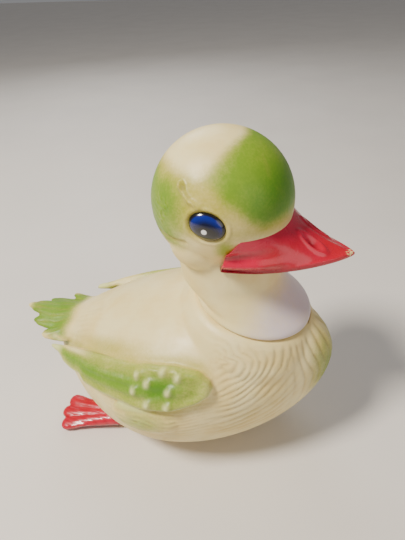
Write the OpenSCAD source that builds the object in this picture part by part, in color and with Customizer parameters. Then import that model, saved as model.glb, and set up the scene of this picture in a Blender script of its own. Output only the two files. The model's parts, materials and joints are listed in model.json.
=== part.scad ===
// Squeaky rubber duckling: a hollow soft-vinyl body on a flat belly, a hollow head that plugs into
// a round neck hole and turns there, and a reed squeaker pressed into the belly.
// The beak points along +X, the duckling's left is +Y, up is +Z, and it stands on z = 0.

/* [Body] */
// Length of the egg-shaped body from chest to rump
body_len = 176; // [150:1:212]
// Width of the body across the flanks
body_w = 114; // [94:1:138]
// Height of the egg above and below its widest line, together
body_h = 97; // [84:1:117]
// Height of the widest line above the table at mid-length
flank_h = 48; // [42:0.5:57]
// How much higher the chest end rides than the rump end
chest_rise = 39; // [30:1:46]
// How far the rump curls up towards the tail
rump_lift = 12; // [8:1:16]
// Depth of round belly that is pressed flat where the toy rests
belly_flat = 5; // [4.5:0.5:6]
// How much narrower the body gets towards the rump, as a share of its width
rump_taper = 0.56; // [0.46:0.02:0.66]
// How much narrower the body gets towards the chest, as a share of its width
chest_taper = 0.34; // [0.26:0.02:0.42]
// Wall thickness of the moulded body
body_wall = 2.6; // [2:0.1:3.4]

/* [Wings and tail] */
// Length of a wing from its round front to its tip
wing_len = 106; // [88:1:127]
// Height of a wing at its round front
wing_h = 30; // [25:1:36]
// Thickness of a wing where it stands proud of the flank
wing_t = 13; // [11:0.5:16]
// How far a wing leans back against the flank, in degrees
wing_lean = 25; // [15:1:35]
// Distance of a wing's round front in front of the middle of the body
wing_front = 33; // [27:1:38]
// Height of a wing on the flank, in degrees round the egg above its widest line
wing_turn = 32; // [27:1:37]
// Distance of a wing's tip from the middle plane
wing_tip_y = 35; // [31:1:39]
// Height of a wing's tip above the widest line of the rump
wing_tip_rise = 28; // [24:1:31]
// Width of the tail fan across its outer feathers
tail_w = 46; // [38:1:55]
// Length of the tail fan behind the rump
tail_len = 22; // [18:1:27]
// Thickness of the tail fan
tail_t = 7; // [5.5:0.5:8.5]

/* [Neck] */
// Distance of the neck seat in front of the middle of the body
neck_x = 43; // [35:1:50]
// Height of the neck seat above the crown of the back, where it cuts into the back below 0
neck_raise = -3; // [-4:0.5:-2]
// Forward lean of the neck axis, in degrees
neck_lean = 13; // [8:1:18]
// Diameter of the bib that covers the seat
bib_d = 62; // [56:1:74]
// Height of the flared bib
bib_h = 13; // [10:1:16]
// Diameter of the round neck hole in the body
neck_hole_d = 40; // [34:1:46]
// Thickness of the seat ring around the neck hole
seat_t = 3; // [2.5:0.5:4]
// Height of the lip that snaps in under the seat ring
lip_h = 3.2; // [2.6:0.1:4]
// How far the lip reaches under the seat ring
lip_reach = 2; // [1.5:0.1:2.5]
// Radial clearance of the head's journal in the neck hole
journal_gap = 0.08; // [0.04:0.01:0.1]
// Clearance between the faces that turn over each other
seat_gap = 0.35; // [0.3:0.05:0.5]

/* [Head] */
// Diameter of the head
head_d = 65; // [58:1:78]
// Height of the middle of the head above the neck seat
head_up = 57; // [50:0.5:64]
// Distance of the middle of the head behind the neck seat
head_back = 16; // [12:0.5:19]
// Diameter of the neck under the head
neck_d = 50; // [44:1:54]
// Wall thickness of the moulded head
head_wall = 2.4; // [2:0.1:3.2]
// Diameter of a round cheek
cheek_d = 31; // [26:1:34]

/* [Beak] */
// Length of the beak from the middle of the head to its tip
beak_len = 62; // [52:1:74]
// Width of the beak at the mouth corners
beak_w = 63; // [53:1:68]
// Width that the beak tapers to at its round tip
beak_tip_w = 18; // [15:1:22]
// Height of the beak at the mouth corners
beak_root_h = 30; // [25:0.5:33]
// Thickness of the beak near its tip
beak_tip_h = 4; // [3.4:0.1:4.8]
// Drop of the beak's lower edge below the middle of the head
beak_drop = 23; // [20:0.5:25]

/* [Eyes] */
// Length of an eye along the face
eye_len = 16; // [13.5:0.5:19]
// Height of an eye
eye_h = 12.5; // [10.5:0.5:15]
// Depth of an eye from its crown to its back
eye_depth = 7; // [6:0.5:8.4]
// How far an eye's crown stands proud of the face
eye_proud = 1.4; // [1:0.1:1.8]
// Turn of an eye from the face's side towards the beak, in degrees
eye_side = 3; // [0:1:12]
// Rise of an eye above the middle of the head, in degrees
eye_rise = 4; // [0:1:12]
// Slant of an eye's long axis down towards the beak, in degrees
eye_slant = 18; // [0:1:24]
// Clearance of an eye in its socket
eye_gap = 0.1; // [0.05:0.01:0.2]

/* [Feet] */
// Length of a webbed foot from its heel to its toes
foot_len = 36; // [30:1:43]
// Width of a webbed foot across its toes
foot_w = 25; // [21:1:30]
// Thickness of a toe
toe_t = 6; // [5:0.5:7.2]
// Distance of a heel from the middle plane
heel_y = 31; // [26:1:37]
// Distance of a heel behind the middle of the body
heel_back = 40; // [34:1:46]
// Outward turn of a foot, in degrees
foot_turn = 9; // [4:1:14]
// Height of a foot above the table
foot_raise = 1.5; // [0.5:0.5:2.5]
// Rise of a foot towards the middle of the body, in degrees
foot_tilt = 13; // [8:1:18]

/* [Squeaker] */
// Distance of the squeaker in front of the middle of the body
squeaker_front = 16; // [15:0.5:17]
// Diameter of the squeaker's barrel
barrel_d = 20; // [19:0.5:22]
// Height of the squeaker's barrel
barrel_h = 14; // [12:0.5:17]
// Wall thickness of the barrel
barrel_wall = 1.4; // [1.2:0.1:1.7]
// Diameter of the squeaker's flange
flange_d = 25; // [23.5:0.5:26]
// Thickness of the squeaker's flange
flange_t = 1.6; // [1.4:0.1:1.9]
// Depth of the flange below the belly's resting face
flange_sink = 1; // [0.8:0.1:1.2]
// Diameter of the sound hole
sound_d = 5; // [4:0.5:6]
// Thickness of the perforated cap
cap_t = 1.6; // [1.4:0.1:1.9]
// Diameter of a hole in the cap
cap_hole_d = 3; // [2.5:0.1:3.5]
// Number of holes round the cap
cap_holes = 6; // [4:1:8]
// Length of the reed
reed_len = 13; // [11:0.5:13.5]
// Width of the reed
reed_w = 5; // [4:0.5:6]
// Thickness of the reed
reed_t = 0.3; // [0.25:0.05:0.35]
// Height of the bed that the reed lies on
bed_h = 3.2; // [2.7:0.1:3.8]

/* [Hidden] */

cream = [0.91, 0.86, 0.70];
red = [0.85, 0.16, 0.22];
eye_blue = [0.08, 0.16, 0.55];
nylon_white = [0.93, 0.93, 0.90];
reed_amber = [0.85, 0.62, 0.25];

rump_curve = 1.3;
chest_curve = 1.75;
bill_crown = 1.15;
bill_back = 6;
body_rings = 30;
body_sides = 40;
cavity_rings = 20;
cavity_sides = 24;
cut = 400;
round_fn = 96;
hull_fn = 28;

neck_z = back_z(neck_x) + neck_raise;
hole_r = neck_hole_d / 2;
journal_r = hole_r - journal_gap;
bib_r = bib_d / 2;
lip_r = journal_r + lip_reach;
neck_bore_r = journal_r - head_wall;
head_pos = [neck_x - head_back, 0, neck_z + head_up];
rim_t = 2;
rim_edge = 0.6;
neck_sides = 36;
neck_top = head_pos + [head_d * 0.03, 0, -head_d * 0.22];
waist_mid = [neck_x - head_back * 0.75, 0, neck_z + bib_h * 1.4];
flare_mid = [neck_x - head_back * 0.4, 0, neck_z + bib_h * 0.6];
beak_low_z = head_pos[2] - beak_drop;
base_plate_t = flange_sink + flange_t + body_wall;
barrel_r = barrel_d / 2;
flange_r = flange_d / 2;
barrel_floor_z = flange_sink + flange_t;
cap_z = flange_sink + barrel_h - cap_t;
bed_top_z = barrel_floor_z + bed_h;
bed_w = reed_w + 2.4;
reed_root_x = reed_len / 2;
squeaker_fit = 0.05;
reed_gap = 0.05;
reed_lift_room = 0.25;

// Egg shape of the body. u runs from -1 at the rump to 1 at the chest; inset moves a wall inwards.
function slim(u) = sqrt(max(0, 1 - u * u));
function belly_slim(u) = sqrt(max(0, 1 - pow(abs(u), u < 0 ? rump_curve : chest_curve)));
function taper(u) = 1 - (u < 0 ? rump_taper : chest_taper) * u * u;
function mid_z(u) = flank_h + chest_rise * u / 2 + rump_lift * pow(max(0, -u), 4);
function egg_z(u, lift, inset) =
    lift >= 0
    ? mid_z(u) + (body_h / 2 - inset) * slim(u) * lift
    : mid_z(u) + (mid_z(u) + belly_flat - inset) * belly_slim(u) * lift;
function egg_point(u, turn, inset) =
    [(body_len / 2 - inset) * u,
     (body_w / 2 * taper(u) - inset) * slim(u) * cos(turn),
     egg_z(u, sin(turn), inset)];
function back_z(x) = egg_z(2 * x / body_len, 1, 0);
function flank_y(x, turn) = egg_point(2 * x / body_len, turn, 0)[1];
function flank_z(x, turn) = egg_point(2 * x / body_len, turn, 0)[2];
function on_axis(up) = [neck_x + up * sin(neck_lean), 0, neck_z + up * cos(neck_lean)];

// Faces of a closed skin that runs from a first pole over rings of points to a last pole.
function skin_faces(rings, sides) =
    let (last = rings * sides + 1)
    concat(
        [for (s = [0:sides - 1]) [0, 1 + s, 1 + (s + 1) % sides]],
        [for (r = [0:rings - 2], s = [0:sides - 1])
            [1 + r * sides + s, 1 + (r + 1) * sides + s, 1 + r * sides + (s + 1) % sides]],
        [for (r = [0:rings - 2], s = [0:sides - 1])
            [1 + r * sides + (s + 1) % sides, 1 + (r + 1) * sides + s, 1 + (r + 1) * sides + (s + 1) % sides]],
        [for (s = [0:sides - 1]) [last, 1 + (rings - 1) * sides + (s + 1) % sides, 1 + (rings - 1) * sides + s]]
    );

module egg(inset, rings, sides) {
    points = concat(
        [egg_point(-1, 0, inset)],
        [for (r = [1:rings], s = [0:sides - 1]) egg_point(-cos(180 * r / (rings + 1)), 360 * s / sides, inset)],
        [egg_point(1, 0, inset)]
    );
    polyhedron(points, skin_faces(rings, sides), convexity = 6);
}

// Egg with three half-axes, its poles along X.
module oval(half) {
    rings = 13;
    sides = 24;
    points = concat(
        [[-half[0], 0, 0]],
        [for (r = [1:rings], s = [0:sides - 1])
            let (pole = 180 * r / (rings + 1), turn = 360 * s / sides)
            [-half[0] * cos(pole), half[1] * sin(pole) * cos(turn), half[2] * sin(pole) * sin(turn)]],
        [[half[0], 0, 0]]
    );
    polyhedron(points, skin_faces(rings, sides), convexity = 2);
}

// Places its children on the neck seat, with Z along the axis that the head turns about.
module on_neck() {
    translate([neck_x, 0, neck_z]) rotate([0, neck_lean, 0]) children();
}

// Places its children on one side: 1 is the left, -1 the right.
module on_side(side) {
    if (side > 0) children();
    else mirror([0, 1, 0]) children();
}

// Places its children on the squeaker's upright axis.
module at_squeaker() {
    translate([squeaker_front, 0, 0]) children();
}

// Left wing: a flat teardrop that lies on the upper flank and ends in a free tip.
module wing() {
    front_r = wing_h / 2;
    front_x = wing_front - front_r;
    middle_x = front_x - wing_len * 0.4;
    tip_r = wing_h / 8;
    tip_x = wing_front - wing_len + tip_r;
    hull() {
        wing_pad(front_x, front_r);
        wing_pad(middle_x, front_r * 0.84);
        translate([tip_x, wing_tip_y, mid_z(2 * tip_x / body_len) + wing_tip_rise])
            sphere(tip_r, $fn = hull_fn);
    }
}

module wing_pad(x, radius) {
    translate([x, flank_y(x, wing_turn), flank_z(x, wing_turn)]) rotate([wing_lean, 0, 0])
        scale([1, wing_t / 2 / radius, 1]) sphere(radius, $fn = hull_fn);
}

// Tail fan: a flat rounded plate that carries on the line of the back.
module tail() {
    edge_r = tail_t / 2;
    root_x = -body_len * 0.4;
    end_x = -body_len / 2;
    root_z = flank_z(root_x, 60) - tail_t;
    root_half = tail_w * 0.2;
    tip_half = tail_w * 0.16;
    tip_x = end_x - tail_len + edge_r;
    hull() {
        for (side = [-1, 1]) {
            translate([root_x, side * root_half, root_z - edge_r]) sphere(tail_t, $fn = hull_fn);
            translate([end_x + edge_r, side * (tail_w / 2 - edge_r), root_z]) sphere(edge_r, $fn = hull_fn);
            translate([end_x - tail_len * 0.6, side * tip_half, root_z + 1]) sphere(edge_r, $fn = hull_fn);
        }
        translate([tip_x, 0, root_z + 3]) sphere(edge_r, $fn = hull_fn);
    }
}

// Turned shoulder that carries the round neck seat on the egg-shaped back.
module neck_shoulder(inset) {
    top_r = bib_r + 1 - inset;
    foot_r = top_r + 11;
    depth = 30;
    on_neck() rotate_extrude($fn = round_fn)
        polygon([[0, -depth], [foot_r, -depth], [foot_r, -depth / 2], [top_r, -inset], [0, -inset]]);
}

module body_shell() {
    color(cream) difference() {
        union() {
            egg(0, body_rings, body_sides);
            neck_shoulder(0);
            for (side = [-1, 1]) on_side(side) wing();
            tail();
        }
        difference() {
            union() {
                egg(body_wall, cavity_rings, cavity_sides);
                neck_shoulder(seat_t);
            }
            translate([0, 0, base_plate_t - cut]) cylinder(r = cut, h = cut);
            on_neck() translate([0, 0, -seat_t]) cylinder(r = bib_r + 1, h = bib_h, $fn = round_fn);
        }
        on_neck() cylinder(r = bib_r + seat_gap, h = bib_h, $fn = round_fn);
        on_neck() translate([0, 0, -seat_t - 1]) cylinder(r = hole_r, h = seat_t + 2, $fn = round_fn);
        at_squeaker() translate([0, 0, -1]) cylinder(r = barrel_r, h = base_plate_t + 2, $fn = round_fn);
        at_squeaker() translate([0, 0, -1]) cylinder(r = flange_r, h = barrel_floor_z + 1, $fn = round_fn);
        translate([0, 0, -cut]) cylinder(r = cut, h = cut);
    }
}

// Head and cheeks, without the neck.
module head_solid(inset) {
    cheek_y = head_d / 2 - cheek_d / 2;
    cheek_z = -head_d * 0.2;
    translate(head_pos) sphere(head_d / 2 - inset, $fn = round_fn);
    for (side = [-1, 1])
        translate(head_pos + [0, side * cheek_y, cheek_z]) sphere(cheek_d / 2 - inset, $fn = round_fn);
}

// Neck through rings of points, each with its middle, its radius and its lean.
module neck_skin(rings) {
    points = concat(
        [rings[0][0]],
        [for (ring = rings, s = [0:neck_sides - 1])
            let (turn = 360 * s / neck_sides)
            ring[0] + ring[1] * [cos(turn) * cos(ring[2]), sin(turn), -cos(turn) * sin(ring[2])]],
        [rings[len(rings) - 1][0]]
    );
    polyhedron(points, skin_faces(len(rings), neck_sides), convexity = 4);
}

// Outside of the neck: it flares into the bib and leans back under the head.
module neck() {
    neck_skin([[on_axis(rim_t / 2), bib_r - rim_edge, neck_lean], [flare_mid, neck_d / 2 + 2, neck_lean],
               [waist_mid, neck_d / 2 - 1, 0], [neck_top, neck_d / 2, 0]]);
}

// Hollow of the neck, from the journal's bore up into the hollow head.
module neck_hollow() {
    neck_skin([[on_axis(0), neck_bore_r - 0.5, neck_lean], [waist_mid, neck_d / 2 - 1 - head_wall, 0],
               [neck_top, neck_d / 2 - head_wall, 0]]);
}

module head_shell() {
    color(cream) difference() {
        union() {
            head_solid(0);
            neck();
            on_neck() head_bib();
        }
        head_solid(head_wall);
        neck_hollow();
        on_neck() translate([0, 0, -seat_t - lip_h - 1])
            cylinder(r = neck_bore_r, h = seat_t + lip_h + 2, $fn = round_fn);
        for (side = [-1, 1]) eye(side, eye_gap);
    }
}

// Rim of the bib over the seat, the journal in the neck hole, and the lip that snaps in under it.
module head_bib() {
    lip_top = -seat_t - seat_gap;
    lip_low = lip_top - lip_h;
    rotate_extrude($fn = round_fn) polygon([
        [0, rim_t], [0, lip_low], [journal_r - rim_edge, lip_low], [lip_r, lip_top - 1], [lip_r, lip_top],
        [journal_r, lip_top], [journal_r, seat_gap], [bib_r - rim_edge, seat_gap],
        [bib_r, seat_gap + rim_edge], [bib_r, rim_t]
    ]);
}

// Bill: broad and deep at the mouth corners, flat and round at the tip.
function bill_w(t) = (beak_w + (beak_tip_w - beak_w) * pow(t, 0.85)) / 2 * sqrt(max(0, 1 - pow(t, 5)));
function bill_h(t) = beak_tip_h + (beak_root_h - beak_tip_h) * pow(1 - t, 1.7);
function bill_edge(t) = beak_tip_h / 2 + (beak_root_h - beak_tip_h) * 0.5 * pow(1 - t, 3);
function bill_point(t, turn, start_x) =
    [start_x + (head_pos[0] + beak_len - start_x) * t,
     bill_w(t) * cos(turn),
     beak_low_z + bill_edge(t)
         + (sin(turn) > 0 ? (bill_h(t) - bill_edge(t)) * pow(sin(turn), bill_crown) : bill_edge(t) * sin(turn))];

module bill() {
    rings = 22;
    sides = 32;
    start_x = head_pos[0] + bill_back;
    points = concat(
        [[start_x - 0.5, 0, beak_low_z + beak_tip_h]],
        [for (r = [0:rings - 1], s = [0:sides - 1])
            bill_point(0.995 * sin(90 * r / (rings - 1)), 360 * s / sides, start_x)],
        [[head_pos[0] + beak_len, 0, beak_low_z + beak_tip_h / 2]]
    );
    polyhedron(points, skin_faces(rings, sides), convexity = 4);
}

module beak() {
    color(red) difference() {
        bill();
        head_solid(0);
        neck();
        for (side = [-1, 1]) eye(side, eye_gap);
    }
}

// Oval eye whose crown stands proud of the face; grow makes the socket that it is pressed into.
module eye(side, grow) {
    reach = head_d / 2 + eye_proud - eye_depth / 2;
    on_side(side) translate(head_pos) rotate([0, 0, -eye_side]) rotate([eye_rise, 0, 0])
        translate([0, reach, 0]) rotate([0, eye_slant, 0])
            oval([eye_len / 2 + grow, eye_depth / 2 + grow, eye_h / 2 + grow]);
}

module right_eye() {
    color(eye_blue) eye(-1, 0);
}

module left_eye() {
    color(eye_blue) eye(1, 0);
}

// Webbed foot that trails backwards beside the rump: three toes with a web between them.
module foot(side) {
    spread = (foot_w - toe_t) / 2;
    heel_r = toe_t * 1.1;
    color(red) difference() {
        on_side(side) translate([-heel_back, heel_y, foot_raise + foot_w * sin(foot_tilt) / 2])
            rotate([0, 0, -foot_turn]) rotate([-foot_tilt, 0, 0]) {
            for (toe = [-1, 0, 1]) hull() {
                translate([0, 0, heel_r]) sphere(heel_r, $fn = hull_fn);
                translate([-foot_len + toe_t / 2 + abs(toe) * 2, toe * spread, toe_t / 2])
                    sphere(toe_t / 2, $fn = hull_fn);
            }
            hull() for (toe = [-1, 1]) {
                translate([0, toe, toe_t * 0.5]) sphere(toe_t / 3, $fn = hull_fn);
                translate([-foot_len + toe_t, toe * spread, toe_t / 2]) sphere(toe_t / 3, $fn = hull_fn);
            }
        }
        egg(0, body_rings, body_sides);
    }
}

module right_foot() {
    foot(-1);
}

module left_foot() {
    foot(1);
}

// Barrel of the squeaker: a cup with a flange below and a sound hole in its floor.
module squeaker_housing() {
    color(nylon_white) at_squeaker() difference() {
        union() {
            translate([0, 0, flange_sink]) cylinder(r = flange_r - squeaker_fit, h = flange_t, $fn = round_fn);
            translate([0, 0, flange_sink]) cylinder(r = barrel_r - squeaker_fit, h = barrel_h, $fn = round_fn);
        }
        translate([0, 0, barrel_floor_z])
            cylinder(r = barrel_r - barrel_wall, h = barrel_h, $fn = round_fn);
        cylinder(d = sound_d, h = barrel_h, $fn = round_fn);
    }
}

// Perforated cap that closes the top of the barrel.
module squeaker_cap() {
    color(nylon_white) at_squeaker() translate([0, 0, cap_z]) difference() {
        cylinder(r = barrel_r - barrel_wall - squeaker_fit, h = cap_t, $fn = round_fn);
        for (i = [0:cap_holes - 1]) rotate([0, 0, 360 * i / cap_holes])
            translate([barrel_r * 0.5, 0, -1]) cylinder(d = cap_hole_d, h = cap_t + 2, $fn = 32);
    }
}

// Bed with the air slot that the reed beats against; the sound hole opens under it.
module reed_bed() {
    bed_len = reed_len + 1;
    slot_len = reed_len * 0.6;
    slot_w = reed_w * 0.6;
    color(nylon_white) at_squeaker() translate([0, 0, barrel_floor_z]) difference() {
        translate([-bed_len / 2, -bed_w / 2, 0]) cube([bed_len, bed_w, bed_h]);
        translate([-slot_len * 2 / 3, -slot_w / 2, -1]) cube([slot_len, slot_w, bed_h + 2]);
    }
}

// Clamp block that holds the root of the reed down on its bed.
module reed_clamp() {
    clamp_len = 3;
    clamp_h = 2;
    groove_w = reed_w + 2 * reed_gap;
    groove_h = reed_gap + reed_t + reed_lift_room;
    color(nylon_white) at_squeaker() translate([reed_root_x - clamp_len + 0.5, 0, bed_top_z]) difference() {
        translate([0, -bed_w / 2, 0]) cube([clamp_len, bed_w, clamp_h]);
        translate([-1, -groove_w / 2, -1]) cube([clamp_len + 2, groove_w, 1 + groove_h]);
    }
}

// Thin blade that beats against the slot when air is squeezed out.
module squeaker_reed() {
    color(reed_amber) at_squeaker() translate([-reed_root_x, -reed_w / 2, bed_top_z + reed_gap])
        cube([reed_len, reed_w, reed_t]);
}

body_shell();
head_shell();
beak();
right_eye();
left_eye();
right_foot();
left_foot();
squeaker_housing();
squeaker_cap();
reed_bed();
reed_clamp();
squeaker_reed();
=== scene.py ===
"""Squeaky rubber duckling: sculpted vinyl skins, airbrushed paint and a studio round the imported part."""
import bpy
import json
import math
import numpy as np
from mathutils import Matrix, Vector


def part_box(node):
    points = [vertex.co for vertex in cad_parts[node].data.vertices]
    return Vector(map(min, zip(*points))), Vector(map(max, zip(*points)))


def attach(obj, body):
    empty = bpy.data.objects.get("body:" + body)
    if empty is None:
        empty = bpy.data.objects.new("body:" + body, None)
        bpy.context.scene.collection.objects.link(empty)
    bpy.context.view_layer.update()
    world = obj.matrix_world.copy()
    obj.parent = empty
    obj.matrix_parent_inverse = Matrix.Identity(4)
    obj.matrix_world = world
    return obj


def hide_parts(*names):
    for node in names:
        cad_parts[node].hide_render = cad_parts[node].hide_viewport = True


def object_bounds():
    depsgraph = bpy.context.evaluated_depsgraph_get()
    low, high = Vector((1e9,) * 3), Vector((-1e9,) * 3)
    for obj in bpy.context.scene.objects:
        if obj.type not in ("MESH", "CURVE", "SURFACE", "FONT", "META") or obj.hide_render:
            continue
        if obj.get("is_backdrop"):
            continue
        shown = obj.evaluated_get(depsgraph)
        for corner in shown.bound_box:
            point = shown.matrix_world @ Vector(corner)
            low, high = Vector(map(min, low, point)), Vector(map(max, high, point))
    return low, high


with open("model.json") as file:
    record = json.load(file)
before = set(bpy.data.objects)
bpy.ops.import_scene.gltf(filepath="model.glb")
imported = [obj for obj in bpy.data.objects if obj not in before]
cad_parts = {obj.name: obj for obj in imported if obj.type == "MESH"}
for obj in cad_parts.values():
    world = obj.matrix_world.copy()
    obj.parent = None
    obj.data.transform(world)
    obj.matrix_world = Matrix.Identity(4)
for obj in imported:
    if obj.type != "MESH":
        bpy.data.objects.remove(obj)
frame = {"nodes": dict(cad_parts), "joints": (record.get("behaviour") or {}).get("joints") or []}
cad_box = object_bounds()

MM = 0.001
RIGHT, LEFT = -1, 1


# ---------------------------------------------------------------- places that come from the frame
def box_mm(node):
    """Lowest and highest corner of a CAD node, in millimetres."""
    low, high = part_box(node)
    return np.array(low) / MM, np.array(high) / MM


body_low, body_high = box_mm("body_shell")
_, head_high = box_mm("head_shell")
beak_low, beak_high = box_mm("beak")
turn_joint = next(j for j in frame["joints"] if j["name"] == "head_turn")
NECK_SEAT = np.array(turn_joint["pos_m"]) / MM
NECK_AXIS = np.array(turn_joint["axis"])
NECK_LEAN = math.atan2(NECK_AXIS[0], NECK_AXIS[2])

HALF_LENGTH = body_high[0]
HALF_WIDTH = 57.0
HALF_HEIGHT = 48.5
WIDEST_Z = 48.0
CHEST_RISE = 39.0
RUMP_LIFT = 12.0
RUMP_TAPER, CHEST_TAPER = 0.56, 0.34
RUMP_CURVE, CHEST_CURVE = 1.3, 1.75
BELLY_FLAT = 5.0
WALL = 2.6

HEAD_RADIUS = head_high[1]
HEAD = np.array([NECK_SEAT[0] - 16, 0, head_high[2] - HEAD_RADIUS])
BIB_RADIUS = 31.0
NECK_WAIST = np.array([HEAD[0] + 4.0, 0, NECK_SEAT[2] + 18.5])
NECK_WAIST_RADIUS = 25.5
TAIL_TIP = np.array([body_low[0], 0, 60.0])


# ---------------------------------------------------------------- small maths
def smooth_step(low, high, value):
    t = np.clip((value - low) / (high - low), 0, 1)
    return t * t * (3 - 2 * t)


def bump(distance, radius):
    """1 at no distance, 0 from radius on, round in between."""
    return 1 - smooth_step(0, radius, np.abs(distance))


def unit(v):
    v = np.asarray(v, float)
    return v / np.linalg.norm(v, axis=-1, keepdims=True)


NOISE_TABLE = np.random.RandomState(11).rand(128, 128)


def noise(a, b):
    """Smooth noise from 0 to 1 over the plane, one lattice cell per unit."""
    a0, b0 = np.floor(a).astype(int), np.floor(b).astype(int)
    fa, fb = a - a0, b - b0
    fa, fb = fa * fa * (3 - 2 * fa), fb * fb * (3 - 2 * fb)
    corner = lambda i, j: NOISE_TABLE[(a0 + i) % 128, (b0 + j) % 128]
    near = corner(0, 0) * (1 - fa) + corner(1, 0) * fa
    far = corner(0, 1) * (1 - fa) + corner(1, 1) * fa
    return near * (1 - fb) + far * fb


def strands(across, along, pitch, length):
    """Rounded ridges like combed feather strands, 0 in the grooves and 1 on the ridges."""
    wobble = (noise(along / 16, across / 14) - 0.5) * 1.4
    lane = across / pitch + wobble
    lane_no = np.floor(lane)
    ridge = np.sin(math.pi * (lane - lane_no)) ** 0.8
    shift = NOISE_TABLE[lane_no.astype(int) % 128, 3]
    step = along / length + shift * 7
    taper = np.sin(math.pi * (step - np.floor(step))) ** 0.6
    return 1 - (1 - ridge) * taper


# ---------------------------------------------------------------- the body's egg shape
def mid_z(u):
    return WIDEST_Z + CHEST_RISE * u / 2 + RUMP_LIFT * np.maximum(0, -u) ** 4


def egg_halves(u):
    """Half-width, height above and depth below the widest line, at a share u of the half-length."""
    slim = np.sqrt(1 - u * u)
    taper = 1 - np.where(u < 0, RUMP_TAPER, CHEST_TAPER) * u * u
    belly_slim = np.sqrt(1 - np.abs(u) ** np.where(u < 0, RUMP_CURVE, CHEST_CURVE))
    return HALF_WIDTH * taper * slim, HALF_HEIGHT * slim, (mid_z(u) + BELLY_FLAT) * belly_slim


def egg_point(x, turn, lift, side=LEFT):
    """Point on the egg at x, turn degrees above its widest line, lifted off the skin."""
    u = np.clip(x / HALF_LENGTH, -0.9999, 0.9999)
    wide, up, down = egg_halves(u)
    c, s = np.cos(np.radians(turn)), np.sin(np.radians(turn))
    tall = np.where(s >= 0, up, down)
    return np.stack([x + 0 * turn, side * (wide + lift) * c, mid_z(u) + (tall + lift) * s], -1)


def egg_chart(co):
    """x, turn in degrees and rough lift off the skin of points near the egg."""
    u = np.clip(co[:, 0] / HALF_LENGTH, -0.98, 0.98)
    wide, up, down = egg_halves(u)
    z = co[:, 2] - mid_z(u)
    a, b = np.abs(co[:, 1]) / wide, z / np.where(z >= 0, up, down)
    return co[:, 0], np.degrees(np.arctan2(b, a)), (np.hypot(a, b) - 1) * wide


# ---------------------------------------------------------------- meshes
def closed_skin(rings, first, last):
    """Vertices and faces of a skin through rings of points, closed by a pole at each end."""
    count, sides = rings.shape[:2]
    verts = np.concatenate([[first], rings.reshape(-1, 3), [last]])
    faces = []
    for s in range(sides):
        t = (s + 1) % sides
        faces.append((0, 1 + t, 1 + s))
        faces.append((len(verts) - 1, 1 + (count - 1) * sides + s, 1 + (count - 1) * sides + t))
        for r in range(count - 1):
            near, far = 1 + r * sides, 1 + (r + 1) * sides
            faces.append((near + s, near + t, far + t, far + s))
    return verts, faces


def egg_skin(inset, rings, sides):
    u = -np.cos(np.pi * np.arange(1, rings + 1) / (rings + 1))
    turn = np.arange(sides) * 360.0 / sides
    uu, tt = np.meshgrid(u, turn, indexing="ij")
    scale = 1 - inset / HALF_LENGTH
    points = egg_point(uu * HALF_LENGTH, tt, -inset)
    points[..., 0] *= scale
    ends = egg_point(np.array([-1, 1]) * HALF_LENGTH * 0.9999, np.zeros(2), 0)
    ends[:, 0] *= scale
    ends[:, 1] = 0
    return closed_skin(points, ends[0], ends[1])


def oval_skin(centre, half, turn=None, rings=40, sides=48):
    """An egg with half-axes half, turned by a 3 x 3 matrix."""
    polar = np.pi * np.arange(1, rings + 1) / (rings + 1)
    around = np.arange(sides) * 2 * np.pi / sides
    pp, aa = np.meshgrid(polar, around, indexing="ij")
    local = np.stack([-np.cos(pp), np.sin(pp) * np.cos(aa), np.sin(pp) * np.sin(aa)], -1) * np.array(half)
    poles = np.array([[-half[0], 0, 0], [half[0], 0, 0]], float)
    matrix = np.eye(3) if turn is None else np.asarray(turn)
    place = lambda p: p @ matrix.T + np.array(centre)
    return closed_skin(place(local), place(poles)[0], place(poles)[1])


def turned_skin(profile, sides=96):
    """A solid turned about the neck axis from (radius, height) points over the neck seat."""
    around = np.arange(sides) * 2 * np.pi / sides
    rings = np.array([[(r * math.cos(a), r * math.sin(a), z) for a in around] for r, z in profile])
    low, high = np.array([0, 0, profile[0][1]]), np.array([0, 0, profile[-1][1]])
    return closed_skin(on_neck(rings), on_neck(low), on_neck(high))


def on_neck(points):
    c, s = math.cos(NECK_LEAN), math.sin(NECK_LEAN)
    return np.asarray(points) @ np.array([[c, 0, s], [0, 1, 0], [-s, 0, c]]).T + NECK_SEAT


def neck_chart(co):
    """Points in the neck's own frame: Z along the axis that the head turns about."""
    c, s = math.cos(NECK_LEAN), math.sin(NECK_LEAN)
    return (co - NECK_SEAT) @ np.array([[c, 0, s], [0, 1, 0], [-s, 0, c]])


def feather_skin(spine, widths, thicks, normal, rings=40, sides=24):
    """A flattened tapering feather along a spine; its broad side faces along normal."""
    spine, normal = np.array(spine, float), unit(normal)
    knots, t = np.linspace(0, 1, len(spine)), np.linspace(0, 1, rings)
    path = np.stack([np.interp(t, knots, spine[:, k]) for k in range(3)], -1)
    for _ in range(6):
        path[1:-1] = (path[:-2] + path[1:-1] * 2 + path[2:]) / 4
    along = unit(np.gradient(path, axis=0))
    across = unit(np.cross(along, normal))
    out = unit(np.cross(across, along))
    wide = np.interp(t, np.linspace(0, 1, len(widths)), widths)
    thick = np.interp(t, np.linspace(0, 1, len(thicks)), thicks)
    round_end = np.sqrt(np.clip(1 - np.clip((t - 0.86) / 0.14, 0, 1) ** 2, 0.0004, 1))
    a = np.arange(sides) * 2 * np.pi / sides
    ring = (across[:, None] * (wide * round_end)[:, None, None] * np.cos(a)[:, None] / 2
            + out[:, None] * (thick * round_end)[:, None, None] * np.sin(a)[:, None] / 2)
    return closed_skin(path[:, None] + ring, path[0], path[-1])


def mirrored(skin):
    verts, faces = skin
    return verts * np.array([1, -1, 1]), [tuple(reversed(f)) for f in faces]


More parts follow.
